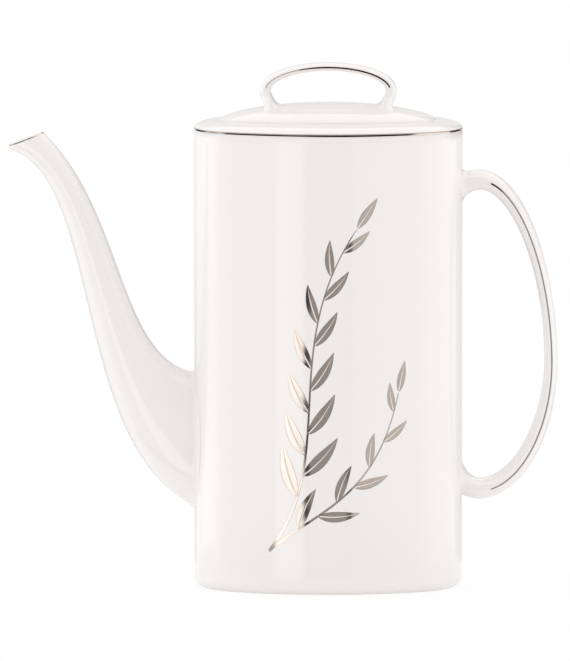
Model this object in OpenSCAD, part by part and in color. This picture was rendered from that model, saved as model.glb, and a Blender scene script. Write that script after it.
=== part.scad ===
// Coffee pot of glazed white china with platinum lines. A flat oval body carries a hollow swan-neck spout at
// one end and a D-shaped handle at the other, and a domed lid with a loop lifts off its mouth. The origin is
// the centre of the foot, on the table. The spout points to -X, the handle to +X, and +Z is up. All sizes are
// in millimetres.

/* [Body] */
// Length of the body over its round ends
body_l = 120.8; // [110:0.2:140]
// Depth of the body from front to back
body_d = 70.4; // [64:0.2:84]
// Height of the body up to its rim
body_h = 208; // [200:1:230]
// Radius of the round ends, seen from above
end_r = 28; // [24:0.5:30]
// Thickness of the body's wall
wall = 3.2; // [2.6:0.1:4.5]
// Thickness of the floor
floor_t = 4; // [3:0.1:6]
// Radius of the round edge between the wall and the foot
foot_round = 4.6; // [2:0.1:8]
// Width of the ring that the pot stands on
foot_w = 4; // [2.5:0.1:7]
// Height of the hollow under the floor
foot_lift = 1.6; // [0.8:0.1:3]
// Radius of the cove between the wall and the floor inside
cove_r = 7; // [3:0.5:12]

/* [Platinum] */
// Thickness of a platinum line
film_t = 0.12; // [0.08:0.01:0.3]
// Height of the line round the rim
band_h = 0.8; // [0.4:0.1:2]
// Width of the edge on the spout's lip
lip_band = 0.9; // [0.5:0.1:2]
// Width of the lines on the handle and the lid's loop
line_w = 0.6; // [0.4:0.1:1.2]

/* [Spout] */
// Height of the spout's lower joint on the body
spout_low = 36.5; // [25:0.5:50]
// Height of the spout's upper joint on the body
spout_high = 97; // [85:1:110]
// How far the tip of the lip stands out from the body's end
spout_reach = 83; // [70:1:95]
// Height of the tip of the lip
tip_h = 198.5; // [185:0.5:210]
// Length of the lip's opening
lip_l = 17; // [13:0.5:22]
// Slope of the lip's opening, in degrees
lip_tilt = 25.5; // [15:0.5:35]
// Depth of the spout where it leaves the body
root_d = 21; // [17:0.5:26]
// Depth of the spout at its lip
lip_d = 15; // [11:0.5:19]
// Thickness of the spout's wall next to the body
spout_wall = 2.4; // [1.8:0.1:3.2]
// Thickness of the spout's wall at its lip
lip_wall = 1.8; // [1.4:0.1:2.4]
// Margin of body wall left round the pouring hole, inside the spout
hole_margin = 2.5; // [1:0.1:4]

/* [Handle] */
// Height of the handle's upper arm
arm_high = 184; // [175:0.5:190]
// Height of the handle's widest point
bow_h = 104; // [90:0.5:120]
// Height of the handle's lower arm
arm_low = 44.5; // [35:0.5:55]
// How far the middle of the bar stands out from the body's end
bow_reach = 40; // [34:0.5:50]
// Straight length of each arm next to the body
arm_l = 8; // [6:0.5:12]
// Thickness of the bar at the arms, seen from the side
arm_t = 9.6; // [7:0.1:12]
// Thickness of the bar at the widest point, seen from the side
bow_t = 6; // [4.5:0.1:9]
// Depth of the bar from front to back
bar_d = 10.5; // [8:0.1:14]
// Radius of the fillets between the handle and the body
arm_fillet = 3.4; // [1:0.1:5]

/* [Lid] */
// Height of the lid's shoulder
shoulder_h = 3.4; // [3:0.1:5]
// Radius of the lid's round outer edge
shoulder_r = 2.8; // [1:0.1:2.9]
// Height of the sloping ring at its inner edge
ring_h = 4; // [3.6:0.1:6]
// Width of the shoulder and the ring together
step_in = 12; // [10:0.1:14]
// Height of the step at the dome's edge
step_h = 0.6; // [0.2:0.1:1.5]
// Height of the dome above its edge
dome_h = 6.6; // [4:0.1:10]
// Thickness of the lid
lid_t = 3.2; // [2.6:0.1:3.6]
// Depth of the flange inside the mouth
flange_h = 14; // [8:0.5:20]
// Thickness of the flange
flange_t = 2.6; // [2:0.1:4]
// Clearance between the flange and the body's wall
flange_gap = 0.8; // [0.4:0.1:1.5]

/* [Lid loop] */
// Length of the loop, through the middle of its bar
loop_l = 56.6; // [48:0.2:64]
// Height of the loop's widest point above the rim
loop_mid = 16.8; // [15:0.1:20]
// Rise of the loop from its widest point to its top, through the middle of its bar
loop_rise = 10.6; // [8:0.1:14]
// Drop of the oval that the loop's legs follow below the widest point
loop_drop = 14.4; // [12:0.1:18]
// Thickness of the loop's bar at its top, seen from the front
loop_top_t = 3.8; // [3:0.1:5]
// Thickness of the loop's bar at its ends, seen from the front
loop_end_t = 5; // [3.6:0.1:6]
// Depth of the loop's bar
loop_d = 6.5; // [5:0.1:9]
// Radius of the fillets between the loop and the dome
loop_fillet = 1.6; // [0.5:0.1:2.5]

/* [Fits] */
// Gap left by the slip or glaze in a fired joint
joint_gap = 0.05; // [0.02:0.01:0.1]
// Gap between the lid and the rim that it rests on
seat_gap = 0.1; // [0.05:0.05:0.3]

/* [Hidden] */
$fn = 128;
china = "#f3f1ee";
platinum = "#b3a9a1";

// The body's outline is four arcs that run into each other without a corner: two round ends, two long sides
end_x = body_l / 2;
side_y = body_d / 2;
end_c = end_x - end_r;
side_r = (end_c ^ 2 + side_y ^ 2 - end_r ^ 2) / (2 * (side_y - end_r));
side_c = side_r - side_y;
end_swing = atan2(side_c, end_c);
wedge_reach = 3;
// How far the wedges that cut the arcs to length spread at their far ends, so that neighbouring arcs fuse
weld = 0.00001;

// How far pieces of one solid run into each other
lap = 1;

// Inside of the body, and the lid's seat
floor_z = foot_lift + floor_t;
heel_w = max(foot_round + foot_w, wall + cove_r) + lap;
lid_z = body_h + seat_gap;

// The spout's upper and lower outlines: each leaves the body along one pull and reaches the lip along another
upper_root = [-end_x, spout_high];
upper_root_pull = [-34, 6.5];
upper_lip_pull = [34, -29];
lower_root = [-end_x, spout_low];
lower_root_pull = [-55.5, 23];
lower_lip_pull = [44, -17];
tip = [-end_x - spout_reach, tip_h];
lip_heel = tip + lip_l * [cos(lip_tilt), sin(lip_tilt)];
spout_upper = [upper_root, upper_root + upper_root_pull, lip_heel + upper_lip_pull, lip_heel];
spout_lower = [lower_root, lower_root + lower_root_pull, tip + lower_lip_pull, tip];
// How far the lower outline runs ahead of the upper one, so that the sections cross the spout squarely
spout_lead = 1.4;
// How far the spout runs into the body's end before that trims it
spout_tail = 6;
spout_steps = 24;
spout_n = 32;
// Where the platinum edge starts along the spout, from the length of the curve per unit at the lip
lip_speed = 3 * norm(upper_lip_pull);
lip_start = 1 - lip_band / lip_speed;

// The bars of the handle and the loop
bow_c = end_x + arm_l;
bow_rx = bow_reach - arm_l;
bar_n = 10;
// How soon the bar swells from the bow towards the arms
bar_swell = 0.8;
// Where the platinum lines stop short of the arms and the loop's legs, in degrees
arm_stop = 8;
loop_stop = 4;
bow_steps = 44;
loop_steps = 40;
// Angle between the loop's sole and the first ring of its leg
sole_rise = 2.5;
sole_shares = [0.3, 0.65, 1];
loop_a = loop_l / 2;

// The dome of the lid: its edge runs parallel to the rim
dome_base = ring_h + step_h;
// Flat foot of the ring that the dome's step stands on
gutter = 0.5;
dome_fullness = 1.4;
dome_top = 86;
dome_steps = 12;
arc_n = 16;

// Point at t on a cubic curve with two end points and two pulls between them
function curve(p, t) =
    (1 - t) ^ 3 * p[0] + 3 * t * (1 - t) ^ 2 * p[1] + 3 * t ^ 2 * (1 - t) * p[2] + t ^ 3 * p[3];

// Ring of the spout at t, from 0 on the body to 1 at the lip, on its outer face or on its bore
function spout_ring(t, bore) =
    let (
        inset = bore ? spout_wall + (lip_wall - spout_wall) * t : 0,
        up = curve(spout_upper, t),
        low = curve(spout_lower, t + spout_lead * t * (1 - t) ^ 3),
        mid = (up + low) / 2,
        half = (up - low) / 2 * (1 - 2 * inset / norm(up - low)),
        wide = (lip_d + (root_d - lip_d) * (1 - t) ^ 2) / 2 - inset
    )
    [for (j = [0:spout_n - 1]) let (a = 360 * j / spout_n)
        [mid.x + half.x * cos(a), wide * sin(a), mid.y + half.y * cos(a)]];

function shifted(ring, by) = [for (p = ring) p + by];

// Section of a bar, t thick and d deep: two half ellipses with a narrow flat on each side crest for the line
function bar_section(t, d) =
    let (flat = asin(line_w / t), turn = 180 - 2 * flat)
    [for (half = [-90, 90], i = [0:bar_n])
        let (a = half + flat + turn * i / bar_n)
        [t / 2 * cos(a), d / 2 * sin(a)]];

// Ring of a bar round the point c of the X-Z plane, its thickness along the direction dir
function bar_ring(c, dir, t, d) = [for (p = bar_section(t, d)) [c.x + dir.x * p.x, p.y, c.y + dir.y * p.x]];

// Growth of a bar at the distance s from the face that its fillet of radius r runs into
function fillet_growth(s, r) = s >= r ? 0 : r - sqrt(r ^ 2 - (r - max(s, 0)) ^ 2);

// Ring of the handle's bow at the angle a, from 90 at the upper arm to -90 at the lower one
function bow_ring(a) =
    let (rise = a > 0 ? arm_high - bow_h : bow_h - arm_low)
    bar_ring(
        [bow_c + bow_rx * cos(a), bow_h + rise * sin(a)],
        unit([cos(a) / bow_rx, sin(a) / rise]),
        bow_t + (arm_t - bow_t) * (1 - cos(a)) ^ bar_swell, bar_d);

// Ring of a handle's arm at the height z, s from the body's end, with dir up or down
function arm_ring(z, s, dir) =
    let (grow = 2 * fillet_growth(s, arm_fillet))
    bar_ring([end_x + s, z], [0, dir], arm_t + grow, bar_d + grow);

function unit(v) = v / norm(v);

// Points round the oval, inset from the body's outer face
function oval_ring(inset) =
    [for (side = [1, -1], arc = [0, 1], i = [0:arc_n - 1])
        let (
            a = arc == 0 ? end_swing * (2 * i / arc_n - 1) : end_swing + (180 - 2 * end_swing) * i / arc_n,
            c = arc == 0 ? [end_c, 0] : [0, -side_c],
            r = (arc == 0 ? end_r : side_r) - inset
        )
        side * (c + r * [cos(a), sin(a)])];

// Ring of the dome at the angle b, from 0 at its edge to 90 at its middle, set inwards by inset
function dome_ring(b, inset) =
    level(oval_ring(step_in + inset) * cos(b), dome_base + dome_h * sin(b) ^ dome_fullness - inset);

// Flat ring at the height z
function level(ring, z) = [for (p = ring) [p.x, p.y, z]];

// Height of the dome above the rim at a point near its long axis, from the share of the way to its edge
function dome_z(x, y) =
    let (
        r = end_r - step_in,
        k = end_c ^ 2 - r ^ 2,
        along = abs(x) * end_c,
        share = (along - sqrt(along ^ 2 - k * (x ^ 2 + y ^ 2))) / k
    )
    dome_base + dome_h * (1 - share ^ 2) ^ (dome_fullness / 2);

// Point of the loop's middle line at the angle a, with 90 at its top
function loop_point(a) = [loop_a * cos(a), loop_mid + (sin(a) > 0 ? loop_rise : loop_drop) * sin(a)];

// Angle below the loop's widest point at which its middle line meets the dome, found by halving
function foot_angle(low, high, n) =
    let (a = (low + high) / 2, p = loop_point(-a))
    n == 0 ? a : p.y > dome_z(p.x, 0) ? foot_angle(a, high, n - 1) : foot_angle(low, a, n - 1);
loop_foot = foot_angle(0, 80, 24);

// Ring of the loop at the angle a. Near the dome it turns level and grows into its fillet
function loop_ring(a) =
    let (
        c = loop_point(a),
        rise = sin(a) > 0 ? loop_rise : loop_drop,
        over = c.y - dome_z(c.x, 0),
        share = min(1, over / loop_end_t),
        out = unit([cos(a) / loop_a, sin(a) / rise]),
        level = [sign(c.x), 0],
        grow = 2 * fillet_growth(over, loop_fillet),
        t = loop_end_t + (loop_top_t - loop_end_t) * max(0, sin(a)) + grow
    )
    bar_ring(c, unit(out * share + level * (1 - share)), t, loop_d + grow);

// Ring of the sole of a loop's foot, laid on the dome: share is 1 at its edge and less inside it
function sole_ring(a, share) =
    let (c = loop_point(a))
    [for (p = loop_ring(a))
        let (x = c.x + (p.x - c.x) * share, y = p.y * share)
        [x, y, dome_z(x, y) + joint_gap]];

// Ring of a platinum line over the side crest of a bar's ring: side is -1 in front and 1 behind
function line_ring(ring, side) =
    let (
        half = len(ring) / 2,
        a = side < 0 ? ring[2 * half - 1] : ring[half - 1],
        b = side < 0 ? ring[0] : ring[half],
        low = [0, side * joint_gap, 0],
        top = [0, side * (joint_gap + film_t), 0]
    )
    [a + top, b + top, b + low, a + low];

// Skin over a row of rings: closed by its own first ring, or else by flat ends
module loft(rings, closed = false) {
    m = len(rings);
    n = len(rings[0]);
    sides = [for (i = [0:m - (closed ? 1 : 2)], j = [0:n - 1])
        let (here = i * n, next = (i + 1) % m * n, k = (j + 1) % n)
        each [[here + j, next + k, here + k], [here + j, next + j, next + k]]];
    ends = closed ? [] : [for (j = [1:n - 2], last = [0, (m - 1) * n])
        last == 0 ? [0, j, j + 1] : [last, last + j + 1, last + j]];
    polyhedron([for (ring = rings) each ring], concat(sides, ends));
}

// Turns a profile so that its x runs inwards from a face of radius r
module inward(r) {
    translate([r, 0]) mirror([1, 0]) children();
}

// Upright wedge from the point c out along the directions a and b, a hair wider than they are
module wedge(c, a, b) {
    hair = weld * unit(a - b);
    linear_extrude(4 * body_h, center = true)
        polygon([c, c + wedge_reach * a + hair, c + wedge_reach * b - hair]);
}

// Turns one profile round an end's centre and another round a side's, as the four stretches of the oval
module oval_stretches() {
    for (side = [0, 180]) rotate([0, 0, side]) {
        intersection() {
            translate([end_c, 0, 0]) rotate_extrude() children(0);
            wedge([end_c, 0], [end_c, -side_c], [end_c, side_c]);
        }
        intersection() {
            translate([0, -side_c, 0]) rotate_extrude() children(1);
            wedge([0, -side_c], [end_c, side_c], [-end_c, side_c]);
        }
    }
}

// Carries a profile round the oval: its x is the distance inwards from the body's outer face, its y is height
module oval_sweep() {
    oval_stretches() {
        inward(end_r) children();
        inward(side_r) children();
    }
}

// Plate of the oval's form, inset from the body's outer face
module oval_plate(inset, h) {
    oval_stretches() {
        square([end_r - inset, h]);
        translate([side_c - lap, 0]) square([side_y + lap - inset, h]);
    }
}

// What lies between a square corner at the origin and a round edge of radius r
module corner(r) {
    difference() {
        square(r);
        translate([r, r]) circle(r);
    }
}

// The body's end, standing a fired joint proud, which trims what is luted to it
module body_end(x) {
    translate([x, 0, 0]) cylinder(r = end_r + joint_gap, h = body_h);
}

module body_profile() {
    difference() {
        union() {
            square([wall, body_h]);
            square([foot_round + foot_w, floor_z]);
            translate([0, foot_lift]) square([heel_w, floor_t]);
            translate([wall, floor_z]) corner(cove_r);
        }
        corner(foot_round);
        translate([0, body_h - band_h - joint_gap]) square([film_t + joint_gap, band_h + joint_gap]);
    }
}

// Upright hole with round ends through the body's wall behind the spout
module pouring_hole() {
    edge = spout_wall + hole_margin;
    w = root_d - 2 * edge;
    low = spout_low + edge + w / 2;
    high = spout_high - edge - w / 2;
    translate([-end_x - lap, 0, 0]) {
        for (z = [low, high]) translate([0, 0, z]) rotate([0, 90, 0]) cylinder(d = w, h = end_r);
        translate([0, -w / 2, low]) cube([end_r, w, high - low]);
    }
}

module pot_body() {
    color(china) difference() {
        union() {
            oval_sweep() body_profile();
            translate([0, 0, foot_lift]) oval_plate(heel_w - lap, floor_t);
        }
        pouring_hole();
    }
}

module rim_band() {
    color(platinum) oval_sweep() translate([0, body_h - band_h]) square([film_t, band_h]);
}

module spout() {
    shares = [for (i = [0:spout_steps]) lip_start * i / spout_steps];
    outer = [for (t = shares) spout_ring(t, bore = false)];
    inner = [for (t = shares) spout_ring(t, bore = true)];
    back = [for (i = [spout_steps:-1:0]) inner[i]];
    tail = [spout_tail, 0, 0];
    color(china) difference() {
        loft(concat([shifted(outer[0], tail)], outer, back, [shifted(inner[0], tail)]), closed = true);
        body_end(-end_c);
    }
}

module spout_lip_band() {
    start = lip_start + joint_gap / lip_speed;
    color(platinum) loft(
        [spout_ring(start, false), spout_ring(1, false), spout_ring(1, true), spout_ring(start, true)],
        closed = true);
}

module handle() {
    // Distances from the body's end at which an arm has a ring, from inside the body out along the fillet
    root = concat([-arm_l / 2], [for (k = [0, 0.1, 0.25, 0.5, 0.8, 1]) arm_fillet * k]);
    color(china) difference() {
        loft(concat(
            [for (s = root) arm_ring(arm_low, s, -1)],
            [for (i = [0:bow_steps]) bow_ring(-90 + 180 * i / bow_steps)],
            [for (i = [len(root) - 1:-1:0]) arm_ring(arm_high, root[i], 1)]));
        body_end(end_c);
    }
}

module handle_line(side) {
    last = 90 - arm_stop;
    angles = [for (i = [0:bow_steps]) last * (2 * i / bow_steps - 1)];
    color(platinum) loft([for (a = angles) line_ring(bow_ring(a), side)]);
}

module lid() {
    flange_in = wall + flange_gap;
    flange_back = flange_in + flange_t;
    ring_in = step_in + lid_t / 2;
    under = ring_h - lid_t;
    edge = ring_h - lid_t / 2;
    angles = [for (i = [0:dome_steps]) dome_top * i / dome_steps];
    color(china) translate([0, 0, lid_z]) {
        oval_sweep() difference() {
            union() {
                polygon([
                    [0, 0], [0, shoulder_h], [shoulder_r, shoulder_h], [step_in - gutter, ring_h],
                    [ring_in, ring_h], [ring_in, under], [flange_back, under], [flange_back, 0]
                ]);
                translate([flange_in, -flange_h]) square([flange_t, flange_h + lap / 2]);
            }
            translate([0, shoulder_h]) mirror([0, 1]) corner(shoulder_r);
        }
        loft(concat(
            [for (i = [dome_steps:-1:0]) dome_ring(angles[i], lid_t)],
            [level(oval_ring(step_in + lid_t), edge), level(oval_ring(step_in), edge)],
            [for (a = angles) dome_ring(a, 0)]));
    }
}

module lid_loop() {
    leg = loop_foot - sole_rise;
    angles = [for (i = [0:loop_steps]) 90 + (90 + leg) * (2 * i / loop_steps - 1)];
    color(china) translate([0, 0, lid_z]) loft(concat(
        [for (k = sole_shares) sole_ring(-loop_foot, k)],
        [for (a = angles) loop_ring(a)],
        [for (i = [len(sole_shares) - 1:-1:0]) sole_ring(180 + loop_foot, sole_shares[i])]));
}

module loop_line(side) {
    angles = [for (i = [0:loop_steps]) 90 + (90 - loop_stop) * (2 * i / loop_steps - 1)];
    color(platinum) translate([0, 0, lid_z]) loft([for (a = angles) line_ring(loop_ring(a), side)]);
}

pot_body();
rim_band();
spout();
spout_lip_band();
handle();
handle_line(-1);  // handle_line_front
handle_line(1);  // handle_line_back
lid();
lid_loop();
loop_line(-1);  // loop_line_front
loop_line(1);  // loop_line_back
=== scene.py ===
# %% [markdown]
# # A tall china coffee pot with platinum lines
#
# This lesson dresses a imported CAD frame. The frame gives every piece its size, its place and the
# body that it moves with. The lesson gives the pieces their skins and finishes: smooth glazed
# china, thin fired platinum and the studio round them. All shapes are worked out with numpy in
# millimetres, as grids of points, and each grid becomes a mesh in one step.

import bmesh
import bpy
import numpy as np
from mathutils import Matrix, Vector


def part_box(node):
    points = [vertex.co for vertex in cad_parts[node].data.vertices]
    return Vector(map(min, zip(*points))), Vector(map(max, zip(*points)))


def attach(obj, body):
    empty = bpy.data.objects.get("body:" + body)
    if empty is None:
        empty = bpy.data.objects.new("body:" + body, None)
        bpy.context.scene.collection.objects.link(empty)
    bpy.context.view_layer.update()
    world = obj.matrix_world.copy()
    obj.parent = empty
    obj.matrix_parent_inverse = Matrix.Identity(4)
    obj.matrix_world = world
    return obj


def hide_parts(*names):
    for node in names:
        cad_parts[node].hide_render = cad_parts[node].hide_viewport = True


MM = 0.001
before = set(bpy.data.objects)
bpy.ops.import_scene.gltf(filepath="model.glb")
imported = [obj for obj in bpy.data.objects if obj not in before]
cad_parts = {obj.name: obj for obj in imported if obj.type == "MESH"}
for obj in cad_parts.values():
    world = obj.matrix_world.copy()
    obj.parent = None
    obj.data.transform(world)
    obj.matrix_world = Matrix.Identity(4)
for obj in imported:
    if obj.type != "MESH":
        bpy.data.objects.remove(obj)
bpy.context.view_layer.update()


def box_mm(node):
    """Lowest and highest corner of a CAD node, in millimetres."""
    return [np.array(corner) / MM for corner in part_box(node)]


# %% [markdown]
# ## The camera
#
# The photograph looks at the broad side of the pot from a little above, through a long lens. The
# camera is made first, because every later choice is judged through it. One point on the pot's
# axis is tied to the pixel that shows it, and the size of a pixel at that point sets the lens.
# The camera then stands square to the middle of the picture, so it needs no lens shift.

# %% The camera
PHOTO_SIZE = np.array([570, 661])
AXIS_POINT = np.array([0, 0, 110.0])
AXIS_PIXEL = np.array([328.2, 343.5])
PIXEL_MM = 0.4509
CAMERA_MM = 5000.0
CAMERA_PITCH = np.radians(6.85)


def add_camera():
    """The camera looks along +Y, tilted down.

    It aims at the axis point, moved by the pixels from there to the middle of the picture.
    """
    up = np.array([0, np.sin(CAMERA_PITCH), np.cos(CAMERA_PITCH)])
    back = np.array([0, -np.cos(CAMERA_PITCH), np.sin(CAMERA_PITCH)])
    right, down = AXIS_PIXEL - PHOTO_SIZE / 2
    aim = AXIS_POINT + PIXEL_MM * (down * up - right * np.array([1, 0, 0]))
    data = bpy.data.cameras.new("camera")
    data.lens = data.sensor_width * CAMERA_MM / (PHOTO_SIZE.max() * PIXEL_MM)
    camera = bpy.data.objects.new("camera", data)
    camera.location = (aim + CAMERA_MM * back) * MM
    camera.rotation_euler = (np.pi / 2 - CAMERA_PITCH, 0, 0)
    bpy.context.scene.collection.objects.link(camera)
    bpy.context.scene.camera = camera
    return camera


camera = add_camera()
print("lens in mm:", round(camera.data.lens, 1), "at", [round(c, 3) for c in camera.location])

# %% [markdown]
# ## Finishes shared by china and platinum
#
# A glaze melts and flows in the kiln, so it is never quite flat: it lies in long shallow waves,
# and platinum that is fired on it follows them. Both finishes also pick up faint marks from hands
# and cloths. Each effect is a node group, built once and placed in both materials with its own
# values. A texture image could hold the same, but a noise in Object coordinates needs no
# unwrapping and has no seams.

# %% Node helpers
UNIT = (0.0, 1.0)


def node(tree, kind, inputs=None, **settings):
    """Adds a node, sets its properties, and sets or links the named inputs."""
    made = tree.nodes.new(kind)
    for name, value in settings.items():
        setattr(made, name, value)
    for name, value in (inputs or {}).items():
        socket = made.inputs[name]
        if isinstance(value, bpy.types.NodeSocket):
            tree.links.new(value, socket)
        else:
            socket.default_value = value
    return made


def maths(tree, operation, *values, **settings):
    """The result of a Math node over the values."""
    inputs = dict(enumerate(values))
    return node(tree, "ShaderNodeMath", inputs, operation=operation, **settings).outputs[0]


def remap(tree, value, source, target, **settings):
    """A value carried from the source's span to the target's, and held at the target's ends."""
    spans = {"From Min": source[0], "From Max": source[1], "To Min": target[0], "To Max": target[1]}
    return node(tree, "ShaderNodeMapRange", {"Value": value, **spans}, **settings).outputs[0]


def noise(tree, place, scale, detail, roughness=0.5):
    """A noise from 0 to 1 over a place."""
    inputs = {"Vector": place, "Scale": scale, "Detail": detail, "Roughness": roughness}
    return node(tree, "ShaderNodeTexNoise", inputs).outputs["Fac"]


def new_group(name, inputs, outputs):
    """A shader node group and its two end nodes, with float inputs (name, default) and outputs."""
    tree = bpy.data.node_groups.new(name, "ShaderNodeTree")
    tree.interface.new_socket("Place", in_out="INPUT", socket_type="NodeSocketVector")
    for label, default in inputs:
        socket = tree.interface.new_socket(label, in_out="INPUT", socket_type="NodeSocketFloat")
        socket.default_value = default
    for label in outputs:
        tree.interface.new_socket(label, in_out="OUTPUT", socket_type="NodeSocketFloat")
    given, out = tree.nodes.new("NodeGroupInput"), tree.nodes.new("NodeGroupOutput")
    return tree, given.outputs, out.inputs


# %% Glaze waves and handling marks
RIPPLE_FINENESS = 4.0
RIPPLE_SHARE = 0.2
CLOUD_FINENESS = 0.35
SMEAR_STRETCH = (1.0, 1.0, 0.35)
SMEAR_SPAN = (0.48, 0.75)


def glaze_waves_group():
    """Height of the glaze's waves, and a broad cloud for its tint.

    The height is long waves plus a fifth as much of a ripple four times as fine.
    """
    tree, given, out = new_group("glaze_waves", [("Scale", 40.0)], ["Height", "Cloud"])
    place, scale = given["Place"], given["Scale"]
    fine = maths(tree, "MULTIPLY", scale, RIPPLE_FINENESS)
    broad = maths(tree, "MULTIPLY", scale, CLOUD_FINENESS)
    waves = noise(tree, place, scale, detail=1.0)
    ripple = noise(tree, place, fine, detail=1.0)
    height = maths(tree, "MULTIPLY_ADD", ripple, RIPPLE_SHARE, waves)
    tree.links.new(height, out["Height"])
    tree.links.new(noise(tree, place, broad, detail=2.0), out["Cloud"])
    return tree


def handling_marks_group():
    """Mask of faint smears, from 0 to Strength.

    It is a noise stretched upright, of which only the top shows, so that most of it is clean.
    """
    values = [("Scale", 30.0), ("Strength", 1.0)]
    tree, given, out = new_group("handling_marks", values, ["Smear"])
    stretch = {"Vector": given["Place"], "Scale": SMEAR_STRETCH}
    place = node(tree, "ShaderNodeMapping", stretch, vector_type="POINT").outputs[0]
    marks = noise(tree, place, given["Scale"], detail=5.0, roughness=0.65)
    tree.links.new(remap(tree, marks, SMEAR_SPAN, (0.0, given["Strength"])), out["Smear"])
    return tree


glaze_waves = glaze_waves_group()
handling_marks = handling_marks_group()
print("node groups:", [g.name for g in bpy.data.node_groups])

# %% [markdown]
# ## Glazed china
#
# The body is fine white china under a clear glossy glaze: a warm white that scatters light, with
# a mirror-like coat. The Principled shader's own gloss layer is that glaze. The whole pot is
# glazed but for the ring that it stood on in the kiln, which is wiped clean before firing, so the
# lowest fraction of a millimetre is matt and a little darker.

# %% The china finish
CHINA_LIGHT = (0.862, 0.832, 0.815, 1)
CHINA_DEEP = (0.843, 0.809, 0.789, 1)
BISCUIT = (0.78, 0.735, 0.69, 1)
BARE_FOOT_M = 0.0003
CHINA_GLOSS = (0.085, 0.13)
GLAZE_IOR = 1.52
WAVE_STRENGTH = 0.12
WAVE_HEIGHT_M = 0.0002


def add_group(tree, group, place, **values):
    """Places a node group in a material, on the given coordinates and with its own values."""
    made = node(tree, "ShaderNodeGroup", node_tree=group)
    tree.links.new(place, made.inputs["Place"])
    for name, value in values.items():
        made.inputs[name].default_value = value
    return made.outputs


def mix_colour(tree, factor, first, second):
    """Colour that runs from first to second as the factor goes from 0 to 1."""
    inputs = {0: factor, 6: first, 7: second}
    return node(tree, "ShaderNodeMix", inputs, data_type="RGBA").outputs[2]


def new_material(name):
    """A new material, its node tree, its Principled shader and its Object coordinates."""
    material = bpy.data.materials.new(name)
    material.use_nodes = True
    tree = material.node_tree
    shader = tree.nodes["Principled BSDF"]
    return material, tree, shader, tree.nodes.new("ShaderNodeTexCoord").outputs["Object"]


def wavy(tree, shader, waves):
    """Tilts a surface by a hair with the glaze's waves."""
    inputs = {"Height": waves["Height"], "Strength": WAVE_STRENGTH, "Distance": WAVE_HEIGHT_M}
    bump = node(tree, "ShaderNodeBump", inputs)
    tree.links.new(bump.outputs["Normal"], shader.inputs["Normal"])


def china_finish():
    """A clouded warm white under a glossy glaze, duller where smeared and bare at the foot."""
    material, tree, shader, place = new_material("glazed_china")
    waves = add_group(tree, glaze_waves, place, Scale=45.0)
    marks = add_group(tree, handling_marks, place, Scale=28.0, Strength=1.0)
    glazed = mix_colour(tree, waves["Cloud"], CHINA_LIGHT, CHINA_DEEP)
    height = node(tree, "ShaderNodeSeparateXYZ", {"Vector": place}).outputs["Z"]
    bare = maths(tree, "LESS_THAN", height, BARE_FOOT_M)
    tree.links.new(mix_colour(tree, bare, glazed, BISCUIT), shader.inputs["Base Color"])
    gloss = remap(tree, marks["Smear"], UNIT, CHINA_GLOSS)
    rough = maths(tree, "ADD", gloss, bare, use_clamp=True)
    tree.links.new(rough, shader.inputs["Roughness"])
    wavy(tree, shader, waves)
    shader.inputs["IOR"].default_value = GLAZE_IOR
    return material


china = china_finish()
print(china.name, "has", len(china.node_tree.nodes), "nodes")

# %% [markdown]
# ## Fired platinum
#
# The lines are liquid bright platinum, brushed on and fired at a low heat. The film is about a
# micron thick and burnished, so it mirrors the room with a warm grey tint, a little less sharply
# than a polished sheet would.

# %% The platinum finish
PLATINUM_BRIGHT = (0.67, 0.59, 0.53, 1)
PLATINUM_WORN = (0.6, 0.525, 0.465, 1)
PLATINUM_GLOSS = (0.055, 0.11)


def platinum_finish():
    """A warm grey metal, darker and duller where it is smeared."""
    material, tree, shader, place = new_material("fired_platinum")
    waves = add_group(tree, glaze_waves, place, Scale=60.0)
    marks = add_group(tree, handling_marks, place, Scale=120.0, Strength=1.0)
    tint = mix_colour(tree, marks["Smear"], PLATINUM_BRIGHT, PLATINUM_WORN)
    tree.links.new(tint, shader.inputs["Base Color"])
    gloss = remap(tree, marks["Smear"], UNIT, PLATINUM_GLOSS)
    tree.links.new(gloss, shader.inputs["Roughness"])
    wavy(tree, shader, waves)
    shader.inputs["Metallic"].default_value = 1.0
    return material


platinum = platinum_finish()
print(platinum.name, "has", len(platinum.node_tree.nodes), "nodes")

# %% [markdown]
# ## From grids to pieces
#
# Every piece is a skin over a grid: rows of closed rings, with the same number of points in each.
# Where two rows meet there is a band of four-sided faces, and an end is closed by a fan round one
# point. Working on whole arrays keeps the shape's formula in sight, which a long run of modelling
# steps would hide.

# %% Skins


def bands(index):
    """Four-sided faces between the rows of an array of indices, each row closed on itself."""
    low, high = index[:-1], index[1:]
    return np.stack([low, np.roll(low, -1, 1), np.roll(high, -1, 1), high], -1).reshape(-1, 4)


def skin(rings, first=None, last=None, wrap=False):
    """Points and faces of a skin over rings (rows x columns x 3).

    A face joins points j and j + 1 of a row to the same points of the next row. With wrap the
    last row joins the first. first and last are points that close the two ends with triangles.
    """
    columns = rings.shape[1]
    points = rings.reshape(-1, 3)
    index = np.arange(len(points)).reshape(-1, columns)
    faces = [bands(np.vstack([index, index[:1]]) if wrap else index)]
    for row, pole in ((index[0], first), (index[-1], last)):
        if pole is not None:
            faces.append(np.stack([row, np.roll(row, -1), np.full(columns, len(points))], -1))
            points = np.vstack([points, pole])
    return points, faces


def closed(rings):
    """A skin whose two ends are closed at their middles."""
    return skin(rings, rings[0].mean(0), rings[-1].mean(0))


# %% Pieces


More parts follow.
